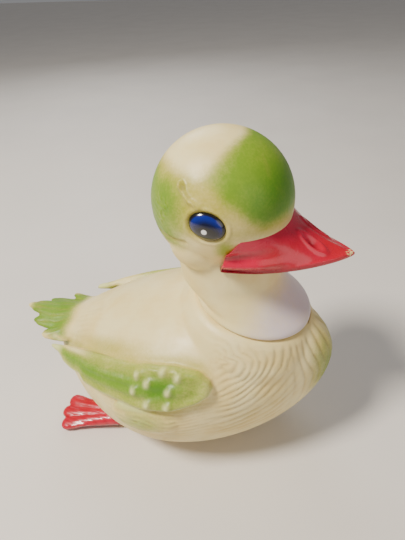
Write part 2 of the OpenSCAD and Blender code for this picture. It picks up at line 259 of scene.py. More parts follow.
def new_piece(name, skin):
    verts, faces = skin
    mesh = bpy.data.meshes.new(name)
    mesh.from_pydata((np.asarray(verts) * MM).tolist(), [], [tuple(int(i) for i in f) for f in faces])
    mesh.update()
    piece = bpy.data.objects.new(name, mesh)
    bpy.context.scene.collection.objects.link(piece)
    return piece


def gather(skins):
    """Several skins as one set of vertices and faces."""
    verts, faces, start = [], [], 0
    for part_verts, part_faces in skins:
        verts.append(part_verts)
        faces += [tuple(i + start for i in f) for f in part_faces]
        start += len(part_verts)
    return np.concatenate(verts), faces


def settle(piece):
    """Applies the piece's modifiers to its mesh."""
    graph = bpy.context.evaluated_depsgraph_get()
    fresh = bpy.data.meshes.new_from_object(piece.evaluated_get(graph))
    old = piece.data
    piece.modifiers.clear()
    piece.data = fresh
    bpy.data.meshes.remove(old)


def moulded(name, skins, voxel, rounds):
    """Melts closed skins into one moulded skin and softens its inner corners."""
    piece = new_piece(name, gather(skins))
    melt = piece.modifiers.new("melt", "REMESH")
    melt.mode = "VOXEL"
    melt.voxel_size = voxel * MM
    soften = piece.modifiers.new("soften", "SMOOTH")
    soften.factor = 0.5
    soften.iterations = rounds
    settle(piece)
    return piece


def cut_from(piece, skin):
    cutter = new_piece(piece.name + "_cutter", skin)
    cut = piece.modifiers.new("cut", "BOOLEAN")
    cut.operation = "DIFFERENCE"
    cut.solver = "EXACT"
    cut.object = cutter
    settle(piece)
    bpy.data.objects.remove(cutter)


def points_of(piece):
    flat = np.empty(len(piece.data.vertices) * 3)
    piece.data.vertices.foreach_get("co", flat)
    return flat.reshape(-1, 3) / MM


def normals_of(piece):
    flat = np.empty(len(piece.data.vertices) * 3)
    piece.data.vertices.foreach_get("normal", flat)
    return flat.reshape(-1, 3)


def set_points(piece, co):
    piece.data.vertices.foreach_set("co", (co * MM).ravel())
    piece.data.update()


def raise_skin(piece, height):
    set_points(piece, points_of(piece) + normals_of(piece) * height[:, None])


def paint_mask(piece, name, value):
    """Stores one airbrush mask on the piece's points."""
    layer = piece.data.attributes.new(name, "FLOAT", "POINT")
    layer.data.foreach_set("value", np.clip(value, 0, 1).astype(np.float32))


def finished(piece, body, slot, material, *nodes):
    piece.data.polygons.foreach_set("use_smooth", [True] * len(piece.data.polygons))
    piece.data.materials.clear()
    piece.data.materials.append(material)
    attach(piece, body)
    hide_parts(*nodes)
    return piece


# ---------------------------------------------------------------- materials
def paint(red, green, blue):
    """Linear colour from 0 to 255 paint values."""
    channel = lambda c: c / 12.92 if c <= 0.04045 else ((c + 0.055) / 1.055) ** 2.4
    return tuple(channel(v / 255) for v in (red, green, blue)) + (1.0,)


class Finish:
    """A material whose colour is built up layer on layer."""

    def __init__(self, name):
        self.material = bpy.data.materials.new(name)
        self.material.use_nodes = True
        self.nodes = self.material.node_tree.nodes
        self.links = self.material.node_tree.links
        self.shader = self.nodes["Principled BSDF"]
        self.place = self.nodes.new("ShaderNodeTexCoord").outputs["Object"]
        self.colour = None

    def set(self, **values):
        for name, value in values.items():
            self.shader.inputs[name.replace("_", " ").title()].default_value = value

    def noise(self, scale, detail=3.0, distortion=0.0):
        node = self.nodes.new("ShaderNodeTexNoise")
        node.inputs["Scale"].default_value = scale
        node.inputs["Detail"].default_value = detail
        node.inputs["Distortion"].default_value = distortion
        self.links.new(self.place, node.inputs["Vector"])
        return node.outputs["Fac"]

    def range(self, value, from_low, from_high, to_low=0.0, to_high=1.0):
        node = self.nodes.new("ShaderNodeMapRange")
        limits = {"From Min": from_low, "From Max": from_high, "To Min": to_low, "To Max": to_high}
        for socket, number in limits.items():
            node.inputs[socket].default_value = number
        self.links.new(value, node.inputs["Value"])
        return node.outputs["Result"]

    def maths(self, operation, first, second):
        node = self.nodes.new("ShaderNodeMath")
        node.operation = operation
        for socket, value in zip(node.inputs, (first, second)):
            if isinstance(value, (int, float)):
                socket.default_value = value
            else:
                self.links.new(value, socket)
        return node.outputs["Value"]

    def mask(self, name):
        node = self.nodes.new("ShaderNodeAttribute")
        node.attribute_name = name
        return node.outputs["Fac"]

    def sprayed(self, name, strength=1.0):
        """An airbrush mask with uneven paint and a speckled edge."""
        value = self.mask(name)
        cloudy = self.range(self.noise(70, 4), 0.3, 0.7, -0.14, 0.12)
        speckle = self.range(self.noise(900, 2), 0.35, 0.65, -0.07, 0.07)
        uneven = self.maths("ADD", cloudy, speckle)
        edge = self.maths("MULTIPLY", uneven, self.range(value, 0.0, 0.3))
        total = self.maths("ADD", value, edge)
        return self.maths("MULTIPLY", self.range(total, 0, 1), strength)

    def base(self, colour, other, scale=60.0):
        """Ground colour that drifts between two near tones."""
        self.colour = self._mix(self.range(self.noise(scale, 3), 0.35, 0.65), colour, other)

    def layer(self, factor, colour):
        self.colour = self._mix(factor, self.colour, colour)

    def _mix(self, factor, first, second):
        node = self.nodes.new("ShaderNodeMix")
        node.data_type = "RGBA"
        self.links.new(factor, node.inputs["Factor"])
        for socket, value in (("A", first), ("B", second)):
            target = [i for i in node.inputs if i.name == socket and i.type == "RGBA"][0]
            if isinstance(value, tuple):
                target.default_value = value
            else:
                self.links.new(value, target)
        return [o for o in node.outputs if o.type == "RGBA"][0]

    def grain(self, *layers):
        """Stacks bumps of (noise scale, depth in metres)."""
        normal = None
        for scale, depth in layers:
            node = self.nodes.new("ShaderNodeBump")
            node.inputs["Strength"].default_value = 1.0
            node.inputs["Distance"].default_value = depth
            self.links.new(self.noise(scale, 2), node.inputs["Height"])
            if normal is not None:
                self.links.new(normal, node.inputs["Normal"])
            normal = node.outputs["Normal"]
        self.links.new(normal, self.shader.inputs["Normal"])

    def roughness(self, low, high, scale=120.0):
        self.links.new(self.range(self.noise(scale, 4), 0.3, 0.7, low, high), self.shader.inputs["Roughness"])

    def done(self):
        self.links.new(self.colour, self.shader.inputs["Base Color"])
        return self.material


CREAM = paint(238, 222, 164)
CREAM_WARM = paint(232, 210, 142)
STRONG_GREEN = paint(74, 128, 14)
FRESH_GREEN = paint(122, 160, 26)
OLIVE = paint(168, 160, 26)
LILAC = paint(216, 202, 210)
# Tan of the handling smudges, also laid into grooves and creases as painted shade.
SHADE_AND_SMUDGE_TAN = paint(178, 146, 78)
BEAD_CREAM = paint(216, 218, 148)
BEAK_RED = paint(186, 4, 34)
BEAK_PINK = paint(202, 14, 60)
# Darker red painted as shade: under the bill, in its creases and nostrils, and in the feet's grooves.
RED_PAINTED_SHADE = paint(128, 2, 18)
EYE_BLUE = paint(8, 28, 126)
EYE_NAVY = paint(6, 16, 62)
EYE_BLACK = paint(10, 10, 12)
EYE_WHITE = paint(238, 238, 238)


def vinyl(name):
    finish = Finish(name)
    finish.base(CREAM, CREAM_WARM)
    finish.set(subsurface_weight=0.12, subsurface_scale=0.004)
    finish.shader.inputs["Subsurface Radius"].default_value = (1.0, 0.7, 0.4)
    finish.shader.inputs["Specular IOR Level"].default_value = 0.45
    return finish


def scuffed(finish):
    """Handling marks: faint grey-tan smudges and fine scuffs."""
    smudge = finish.range(finish.noise(38, 5, 1.5), 0.62, 0.74, 0, 0.16)
    finish.layer(smudge, SHADE_AND_SMUDGE_TAN)
    finish.roughness(0.36, 0.5)
    finish.grain((260, 0.00012), (1500, 0.00004))


def body_vinyl():
    finish = vinyl("airbrushed_body_vinyl")
    finish.layer(finish.sprayed("olive", 0.85), OLIVE)
    finish.layer(finish.sprayed("fresh", 0.85), FRESH_GREEN)
    finish.layer(finish.sprayed("strong", 0.9), STRONG_GREEN)
    finish.layer(finish.maths("MULTIPLY", finish.mask("bead"), 0.9), BEAD_CREAM)
    # Tan in the combed grooves, darker the deeper the groove: painted shade.
    finish.layer(finish.maths("MULTIPLY", finish.mask("groove"), 0.42), SHADE_AND_SMUDGE_TAN)
    scuffed(finish)
    return finish.done()


def head_vinyl():
    finish = vinyl("airbrushed_head_vinyl")
    finish.layer(finish.sprayed("lilac", 0.9), LILAC)
    finish.layer(finish.sprayed("olive", 0.9), OLIVE)
    finish.layer(finish.sprayed("fresh", 0.85), FRESH_GREEN)
    finish.layer(finish.sprayed("strong", 0.92), STRONG_GREEN)
    # Tan in the cheek fold and round the eye sockets: painted shade.
    finish.layer(finish.maths("MULTIPLY", finish.mask("groove"), 0.4), SHADE_AND_SMUDGE_TAN)
    scuffed(finish)
    return finish.done()


def red_gloss(name, rough_low, rough_high):
    finish = Finish(name)
    finish.base(BEAK_RED, BEAK_PINK, 45)
    # Darker red from the deep mask: painted shade.
    finish.layer(finish.mask("deep"), RED_PAINTED_SHADE)
    finish.layer(finish.mask("chip"), CREAM_WARM)
    finish.roughness(rough_low, rough_high, 200)
    finish.grain((420, 0.00008), (160, 0.00025))
    finish.shader.inputs["Coat Weight"].default_value = 0.32
    finish.shader.inputs["Coat Roughness"].default_value = 0.1
    finish.set(subsurface_weight=0.06, subsurface_scale=0.003)
    return finish.done()


def eye_gloss():
    finish = Finish("painted_eye_gloss")
    finish.base(EYE_NAVY, EYE_BLACK, 200)
    finish.layer(finish.mask("blue"), EYE_BLUE)
    finish.layer(finish.mask("black"), EYE_BLACK)
    finish.layer(finish.mask("white"), EYE_WHITE)
    finish.roughness(0.12, 0.22, 300)
    finish.grain((500, 0.00003))
    finish.shader.inputs["Coat Weight"].default_value = 0.6
    finish.shader.inputs["Coat Roughness"].default_value = 0.06
    return finish.done()


def moulded_nylon():
    finish = Finish("moulded_nylon")
    finish.base(paint(238, 238, 230), paint(226, 226, 216), 90)
    finish.layer(finish.range(finish.noise(300, 4), 0.6, 0.8, 0, 0.2), paint(190, 186, 170))
    finish.roughness(0.45, 0.6, 400)
    finish.grain((900, 0.00005))
    finish.shader.inputs["Subsurface Weight"].default_value = 0.05
    return finish.done()


def amber_film():
    finish = Finish("amber_reed_film")
    finish.base(paint(222, 162, 70), paint(206, 140, 52), 200)
    finish.roughness(0.22, 0.36, 500)
    finish.grain((1200, 0.00002))
    finish.shader.inputs["Transmission Weight"].default_value = 0.3
    return finish.done()


# ---------------------------------------------------------------- wings
WING_FRONT, WING_TIP = 33.5, -72.5
# Outline of a wing on the flank, from its round front to its tip: x, and the turn of its lower and
# upper edge in degrees over the egg's widest line. The two steps of the lower edge are feather ends.
WING_X = np.array([WING_FRONT, 31.5, 26, 14, -2, -18, -34, -41, -45, -55, -60, -65, WING_TIP])
WING_LOW = np.array([25.6, 20.0, 16.4, 13.4, 14.2, 16.9, 19.5, 20.4, 24.6, 25.0, 26.2, 30.5, 32.0])
WING_HIGH = np.array([25.6, 31.0, 36.5, 40.0, 41.2, 41.8, 41.8, 41.4, 41.0, 39.6, 38.6, 36.5, 34.0])
# Rear ends of the covert feathers, which carry a raised cream drop: x and turn.
COVERTS = [(-6, 35.2), (-7, 26.6), (8.0, 37.6), (0.5, 31.2), (1.5, 19.6), (16, 34.0), (12, 26.4), (12, 18.0)]
COVERT_HALF_WIDTH = 5.4
# Grooves between the long rear feathers, as shares of the wing's width.
PRIMARY_LINES = (0.24, 0.46, 0.68)
# Length on the flank of one degree of turn, at the wing's usual distance from the middle.
MM_PER_DEGREE = 0.93


def wing_base(x):
    """How far the wing stands off the flank: it lifts away towards its tip."""
    away = np.array([-80, -72.5, -66, -61, -52, -45, -36, -24, -14])
    return np.interp(x, away, [20.0, 15.5, 11.6, 9.4, 7.2, 5.4, 3.4, 1.2, 0.0])


def wing_relief(x, turn, low, high):
    """Height of the wing's feathers over its base, in millimetres."""
    from_low = (turn - low) * MM_PER_DEGREE
    from_high = (high - turn) * MM_PER_DEGREE
    from_front = 34 - x
    across = (turn - low) / np.maximum(high - low, 0.1)
    rear = smooth_step(4, -12, x)
    inside = np.minimum(np.minimum(from_low, from_high + 8 * rear), from_front * 0.8)
    rim = bump(inside - 3.0, 3.6) * (1 - smooth_step(0, -14, x))
    height = 3.3 + 1.3 * rim - 2.6 * rear * smooth_step(0.55, 1.0, across)
    for bead_x, bead_turn in COVERTS:
        ahead = x - bead_x
        aside = (turn - bead_turn) * MM_PER_DEGREE
        reach = np.hypot((ahead - 4.0) / np.where(ahead > 4.0, 10.0, 5.6), aside / COVERT_HALF_WIDTH)
        lobe = np.clip(1 - reach ** 2, 0, 1) ** 0.5
        drop = bump(np.hypot((ahead - 0.6) / 3.4, aside / 4.4), 1.0)
        height = np.maximum(height, 1.8 + 2.7 * lobe + 2.3 * drop * (ahead < 14))
    for line in PRIMARY_LINES:
        groove = bump((across - line) * (high - low) * MM_PER_DEGREE, 1.5)
        height -= 0.9 * groove * rear
    barbs = strands(turn * MM_PER_DEGREE, x, 2.1, 26)
    height -= 0.35 * (1 - barbs) * rear
    return height


def wing_skin():
    rings, sides = 230, 90
    s = 0.5 - 0.5 * np.cos(np.pi * (np.arange(rings) + 0.5) / rings)
    s = 0.35 * s + 0.65 * np.linspace(0.002, 0.998, rings)
    x = WING_FRONT - s * (WING_FRONT - WING_TIP)
    v = (np.arange(sides) + 0.5) / sides
    low = np.interp(-x, -WING_X, WING_LOW)[:, None]
    high = np.interp(-x, -WING_X, WING_HIGH)[:, None]
    turn = low + (high - low) * v[None]
    xx = np.repeat(x[:, None], sides, 1)
    edge = np.minimum(turn - low, high - turn) * MM_PER_DEGREE
    rounded = np.sqrt(1 - (1 - np.clip(edge / 2.6, 0, 1)) ** 2)
    base = wing_base(xx)
    outer = egg_point(xx, turn, base + wing_relief(xx, turn, low, high) * rounded)
    free = smooth_step(-42, -60, xx)
    tuck = turn + 5.0 * (1 - v[None]) * (1 - free)
    inner = egg_point(xx, tuck, base * free - 3.0 + free * (1.6 - 1.6 * rounded))[:, ::-1]
    rings_of_points = np.concatenate([outer, inner], 1)
    return closed_skin(rings_of_points, rings_of_points[0].mean(0), rings_of_points[-1].mean(0))


# ---------------------------------------------------------------- tail
def tail_feathers():
    """Five overlapping feathers, arched like a roof, highest and longest in the middle."""
    skins = []
    fan = [(0, 0.0, -1.0, 19, 0.5), (1, 10.5, 9.5, 15, -1.8), (2, 20.5, 22.0, 12, -2.6)]
    for rank, tip_y, back, width, drop in fan:
        for side in ((LEFT,) if rank == 0 else (RIGHT, LEFT)):
            tip = TAIL_TIP + np.array([back + 1.0, side * tip_y, drop])
            root = np.array([-54.0, side * tip_y * 0.5, 66 + drop * 0.8])
            middle = np.array([(root[0] + tip[0]) / 2 - 3, side * tip_y * 0.8, (root[2] + tip[2]) / 2 - 3.0])
            normal = (0, side * rank * 0.26, 1)
            widths, thicks = [9, 13, width, width * 0.72, 5], [9, 8, 5.5, 4, 3]
            skins.append(feather_skin([root, middle, tip], widths, thicks, normal))
    return skins


# ---------------------------------------------------------------- body
THIGH_X, THIGH_TURN = -3.0, 3.0
NECK_HOLE_RADIUS = 20.3


def build_body():
    rim = BIB_RADIUS + 0.6
    shoulder = [(rim + 9, -26), (rim + 8, -14), (rim + 5.2, -7), (rim + 2.4, -2.4), (rim, -0.4), (rim - 3, 0)]
    seat = turned_skin(shoulder)
    thigh = [oval_skin(egg_point(np.array(THIGH_X), np.array(THIGH_TURN), -3.0, side), (19, 6, 11))
             for side in (RIGHT, LEFT)]
    wing = wing_skin()
    skins = [egg_skin(0.35, 90, 120), seat, wing, mirrored(wing)] + thigh + tail_feathers()
    piece = moulded("body_skin", skins, 0.85, 5)

    co = points_of(piece)
    relief, _ = body_relief(co)
    raise_skin(piece, relief)
    co = points_of(piece)
    below = co[:, 2] < 0
    co[below, 2] = 0
    set_points(piece, co)

    hollow(piece)
    co = points_of(piece)
    _, groove = body_relief(co)
    paint_body(piece, co, groove)
    return finished(piece, "body", "body_vinyl", body_vinyl(), "body_shell")


def hollow(piece):
    """Cuts the air chamber, the neck hole and the squeaker's seat."""
    cut_from(piece, egg_skin(WALL + 0.8, 40, 48))
    cut_from(piece, turned_skin([(NECK_HOLE_RADIUS, -12), (NECK_HOLE_RADIUS, 4)]))
    cut_from(piece, turned_skin([(BIB_RADIUS + 0.4, 0.0), (BIB_RADIUS + 0.4, 14)]))
    flange_low, flange_high = box_mm("squeaker_housing")
    centre = (flange_low + flange_high) / 2
    radius = (flange_high[0] - flange_low[0]) / 2 + 0.1
    around = np.arange(96) * 2 * np.pi / 96
    ring = lambda r, z: np.stack([centre[0] + r * np.cos(around), r * np.sin(around), 0 * around + z], -1)
    flange_top, barrel = flange_low[2] + 1.62, radius - 2.5
    profile = [ring(radius, -2), ring(radius, flange_top), ring(barrel, flange_top), ring(barrel, 9)]
    low, high = np.array([centre[0], 0, -2.0]), np.array([centre[0], 0, 9.0])
    cut_from(piece, closed_skin(np.array(profile), low, high))


def wing_cover(x, turn, margin):
    """1 on the wings, fading to 0 over the margin outside their outline."""
    low = np.interp(-x, -WING_X, WING_LOW)
    high = np.interp(-x, -WING_X, WING_HIGH)
    outside = np.maximum(np.maximum(low - turn, turn - high) * MM_PER_DEGREE, x - WING_FRONT)
    return 1 - smooth_step(0, margin, np.maximum(outside, -75 - x))


def body_relief(co):
    """Combed feather strands over the body's skin; also how deep each point sits in a groove, which sets the
    painted shade in the grooves.
    """
    x, turn, _ = egg_chart(co)
    neck = neck_chart(co)
    from_neck = np.hypot(neck[:, 0], neck[:, 1])
    round_neck = np.arctan2(np.abs(co[:, 1]), co[:, 0] - 38)
    away = (1 - wing_cover(x, turn, 4)) * smooth_step(BIB_RADIUS + 0.5, BIB_RADIUS + 5, from_neck)
    tail = smooth_step(-60, -72, x)
    belly = smooth_step(-62, -40, turn)

    front = strands(round_neck * 33, co[:, 2], 3.6, 24)
    ring_x, ring_z = co[:, 0] - 33, (co[:, 2] - 86) * 1.1
    ring = np.hypot(ring_x, ring_z)
    flank = strands(ring, np.arctan2(ring_z, ring_x) * 30, 3.9, 21)
    to_flank = smooth_step(0.45, 0.95, round_neck)
    chest = (1 - front) * (1 - to_flank) + (1 - flank) * to_flank
    chest_area = smooth_step(26, 42, x) * smooth_step(-40, -24, turn)

    low_flank = 1 - strands(turn * MM_PER_DEGREE * 1.15, x, 3.4, 30)
    low_area = smooth_step(42, 28, x) * smooth_step(22, 12, turn) * smooth_step(-70, -55, x)
    back = 1 - strands(turn * 0.8, x, 4.2, 20)
    back_area = 0.2 + 0.8 * smooth_step(-34, -58, x)
    back_area = back_area * smooth_step(44, 50, turn) * smooth_step(20, -14, x) * (1 - tail)
    rump = smooth_step(-84, -60, x)

    thigh_x, thigh_turn = x - THIGH_X, turn - THIGH_TURN
    in_thigh = bump(np.hypot(thigh_x / 24, thigh_turn / 13), 1.0)
    curls = 1 - strands(thigh_turn * 0.9 + thigh_x * 0.35, thigh_x - thigh_turn * 0.5, 3.0, 9)

    depth = 0.85 * chest * chest_area
    depth = depth + 0.55 * low_flank * low_area * (1 - in_thigh) * rump
    depth = depth + 0.34 * back * back_area * rump
    depth = depth + 0.95 * curls * in_thigh * (1 - chest_area)
    depth = depth * away * belly * (1 - tail)

    feather_y = np.abs(co[:, 1]) / np.maximum(1, (-co[:, 0] - 40) * 0.3)
    fan = 1 - strands(feather_y * 9, co[:, 0], 2.6, 30)
    depth = depth + 0.6 * fan * smooth_step(-70, -78, x) * smooth_step(45, 52, co[:, 2])
    return -depth, depth / 0.85


def paint_body(piece, co, groove):
    x, turn, lift = egg_chart(co)
    on_wing = wing_cover(x, turn, 5) * smooth_step(0.4, 2.0, lift)
    side_low = np.interp(-x, -WING_X, WING_LOW)
    side_high = np.interp(-x, -WING_X, WING_HIGH)
    across = (turn - side_low) / np.maximum(side_high - side_low, 1)
    cloud = noise(co[:, 0] / 9 + 40, co[:, 2] / 9 + co[:, 1] / 12)

    wing_middle = np.hypot((x - 6) / 26, (turn - 28) / 12)
    covert_green = bump(wing_middle, 1.25) * on_wing
    stripe_centre = np.interp(x, [-72, -40, -10, 10], [0.55, 0.5, 0.5, 0.5])
    stripe = bump((across - stripe_centre) / 0.48, 1.0) * smooth_step(-74, -56, x) * smooth_step(12, -4, x)
    tail_green = smooth_step(-66, -79, x) * (1 - smooth_step(-101, -108, x)) * smooth_step(44, 52, co[:, 2])
    tail_edge = np.abs(co[:, 1]) / np.interp(co[:, 0], [-110, -90, -70], [6, 22, 26])
    tail_green = tail_green * (1 - smooth_step(0.7, 0.95, tail_edge))
    chest = bump(np.hypot((co[:, 2] - 66) / 26, (np.abs(co[:, 1]) - 6) / 17), 1.0) * smooth_step(62, 78, x)
    thigh = bump(np.hypot((x - THIGH_X - 1) / 25, (turn - THIGH_TURN) / 13), 1.0)
    halo = wing_cover(x, turn, 9) * smooth_step(36, 24, x)
    upper_sweep = bump(np.hypot((x + 30) / 52, (turn - 46) / 11), 1.0)

    strong = np.maximum(covert_green * (0.78 + 0.35 * cloud), 0.55 * stripe * on_wing)
    strong = np.maximum(strong, 0.75 * tail_green * (0.6 + 0.5 * cloud))
    strong = np.maximum(strong, 0.85 * chest * (0.55 + 0.6 * cloud))
    fresh = np.maximum(np.maximum(stripe * on_wing, tail_green), 0.75 * thigh)
    fresh = np.maximum(fresh, np.maximum(covert_green, 0.55 * on_wing))
    olive = np.maximum(np.maximum(0.8 * halo, 0.8 * upper_sweep), np.maximum(tail_green, chest))
    olive = np.maximum(olive, 0.8 * on_wing * (1 - smooth_step(0.7, 1.2, wing_middle)))

    beads = np.zeros(len(co))
    for side in (RIGHT, LEFT):
        wing_tip = egg_point(np.array(-72.0), np.array(33.0), 17.0, side)
        beads = np.maximum(beads, smooth_step(13, 5, np.linalg.norm(co - wing_tip, axis=1)))
    for bead_x, bead_turn in COVERTS:
        ahead, aside = x - bead_x, (turn - bead_turn) * MM_PER_DEGREE
        beads = np.maximum(beads, bump(np.hypot((ahead - 0.2) / 3.2, aside / 3.8), 1.0) * on_wing)
    rim_edge = on_wing * smooth_step(3.2, 1.0, (turn - side_low) * MM_PER_DEGREE)
    beads = np.maximum(beads, 0.8 * rim_edge)

    bare = 1 - 0.85 * on_wing * smooth_step(0.7, 0.92, across) * smooth_step(-32, -50, x)
    paint_mask(piece, "strong", strong * bare)
    paint_mask(piece, "fresh", fresh * bare)
    paint_mask(piece, "olive", olive * bare)
    paint_mask(piece, "bead", beads)
    # The groove mask carries the painted shade in the grooves.
    paint_mask(piece, "groove", groove)


# ---------------------------------------------------------------- head
EYE_HALF = np.array([8.0, 3.5, 6.25])
EYE_SIDE, EYE_RISE, EYE_SLANT = math.radians(3), math.radians(4), math.radians(18)
EYE_REACH = HEAD_RADIUS + 1.4 - 3.5


def turn_matrix(axis, angle):
    return np.array(Matrix.Rotation(angle, 3, axis))


EYE_TURN = turn_matrix("Z", -EYE_SIDE) @ turn_matrix("X", EYE_RISE)
EYE_TILT = EYE_TURN @ turn_matrix("Y", EYE_SLANT)
EYE_CENTRE = HEAD + EYE_TURN @ np.array([0, EYE_REACH, 0])


def eye_chart(co):
    """Place across an eye's face, as shares of its half-length and half-height, for either side."""
    left = co.copy()
    left[:, 1] = np.abs(left[:, 1])
    local = (left - EYE_CENTRE) @ EYE_TILT
    return local[:, 0] / EYE_HALF[0], local[:, 2] / EYE_HALF[2], local[:, 1]


def build_head():
    skull = oval_skin(HEAD, (HEAD_RADIUS + 0.6, HEAD_RADIUS, HEAD_RADIUS), None, 80, 96)
    skins = [skull]
    for side in (RIGHT, LEFT):
        skins.append(oval_skin(HEAD + np.array([-6.0, side * 16.5, -14.5]), (14.5, 13.0, 13.0)))
    skins.append(neck_skin())
    piece = moulded("head_skin", skins, 0.55, 26)
    co = points_of(piece)
    relief, _ = head_relief(co)
    raise_skin(piece, relief)
    cut_from(piece, oval_skin(HEAD, (28.5, 28.5, 28.5)))
    cut_from(piece, turned_skin([(17.0, -9), (17.0, 1.5)]))
    cut_from(piece, neck_hollow())
    co = points_of(piece)
    _, groove = head_relief(co)
    paint_head(piece, co, groove)
    return finished(piece, "head", "head_vinyl", head_vinyl(), "head_shell")


def neck_skin():
    """Neck, flared bib, and the collar that turns in the body's neck hole."""
    rim = BIB_RADIUS
    sides = 120
    around = np.arange(sides) * 2 * np.pi / sides
    collar = [(19.4, -6.3), (21.6, -4.6), (21.6, -3.6), (19.6, -3.4), (19.6, 0.3)]
    lip = [(rim - 1.6, 0.35), (rim - 0.4, 0.9), (rim, 2.0), (rim - 0.4, 3.2), (rim - 1.6, 4.4)]
    rings = [neck_ring(radius, height, around) for radius, height in collar + lip]
    start = rings[-1]
    waist = level_ring(NECK_WAIST, NECK_WAIST_RADIUS, around)
    top_middle = HEAD + np.array([1.0, 0, -10.0])
    top = level_ring(top_middle, 25.0, around)
    for share in (0.12, 0.26, 0.42, 0.6, 0.8, 1.0):
        flare = 1 - (1 - share) ** 1.35
        rings.append(start * (1 - flare) + waist * flare)
        rings[-1][:, 2] = start[:, 2] * (1 - share) + waist[:, 2] * share
    for share in (0.33, 0.67, 1.0):
        rings.append(waist * (1 - share) + top * share)
    return closed_skin(np.array(rings), on_neck([0, 0, collar[0][1]]), top_middle)


def neck_hollow():
    """Air space of the neck between the journal's bore and the hollow head."""
    around = np.arange(72) * 2 * np.pi / 72
    bore = neck_ring(16.8, 0.5, around)
    waist = level_ring(NECK_WAIST, NECK_WAIST_RADIUS - 4.5, around)
    top_middle = HEAD + np.array([1.0, 0, -13.0])
    top = level_ring(top_middle, 21.0, around)
    return closed_skin(np.array([bore, waist, top]), on_neck([0, 0, 0.5]), top_middle)


def neck_ring(radius, height, around):
    """A ring about the neck axis, at a height over the neck seat."""
    return on_neck(np.array([(radius * math.cos(a), radius * math.sin(a), height) for a in around]))


def level_ring(centre, radius, around):
    """A flat ring about a point."""
    ring = np.stack([np.cos(around), np.sin(around), 0 * around], -1)
    return ring * radius + np.asarray(centre)


def distance_to_path(co, path):
    """Distance from points to a path of straight steps."""
    best = np.full(len(co), 1e9)
    for start, end in zip(path[:-1], path[1:]):
        start, end = np.array(start, float), np.array(end, float)
        step = end - start
        share = np.clip((co - start) @ step / (step @ step), 0, 1)
        best = np.minimum(best, np.linalg.norm(co - start - share[:, None] * step, axis=1))
    return best


def on_skull(x, z):
    """Point on the left side of the skull at x and z from the head's middle."""
    y = math.sqrt(max(1.0, HEAD_RADIUS ** 2 - x * x - z * z))
    return np.array([HEAD[0] + x, y, HEAD[2] + z])


def head_relief(co):
    """Brow, eye sockets, cheek fold and combed strands of the head; also how deep each point sits, which sets
    the painted shade in the cheek fold and round the eye sockets.
    """
    both = co.copy()
    both[:, 1] = np.abs(both[:, 1])
    a, b, out = eye_chart(co)
    from_eye = np.hypot(a, b)
    near_side = smooth_step(-6, 0, out)
    socket = (1 - smooth_step(0.92, 1.12, from_eye)) * near_side
    lid = bump(from_eye - 1.2, 0.16) * near_side

    brow_line = [on_skull(-10.5, 17.5), on_skull(-9.0, 15.0), on_skull(-6.0, 12.0), on_skull(-1.5, 10.5)]
    brow = distance_to_path(both, brow_line)
    brow_fade = smooth_step(HEAD[0] + 1, HEAD[0] - 5, both[:, 0])
    knob = np.linalg.norm(both - on_skull(-10.0, 16.6), axis=1)
    raised = 1.4 * bump(brow, 1.9) * (0.3 + 0.7 * brow_fade) + 1.1 * bump(knob, 2.6)

    fold = distance_to_path(both, [on_skull(-23, -8.0), on_skull(-16, -8.4), on_skull(-9, -7.4)])
    crease = 0.7 * bump(fold, 2.2)

    pits = noise(both[:, 0] / 1.3 + 60, both[:, 2] / 1.3)
    pit_area = bump(np.linalg.norm(both - on_skull(-20, 4.5), axis=1), 9.5)
    texture = 0.5 * (smooth_step(0.55, 0.8, pits) - 0.3) * pit_area

    combed = 1 - strands(both[:, 2] + both[:, 0] * 0.4, both[:, 0], 3.4, 14)
    comb_area = smooth_step(HEAD[0] - 12, HEAD[0] - 26, both[:, 0]) * bump((both[:, 2] - HEAD[2] + 2) / 20, 1.0)
    height = raised + texture - crease - 1.1 * socket + 0.35 * lid - 0.18 * combed * comb_area
    return height, np.clip(crease / 0.7 + 0.5 * bump(from_eye - 1.08, 0.1) * near_side, 0, 1)


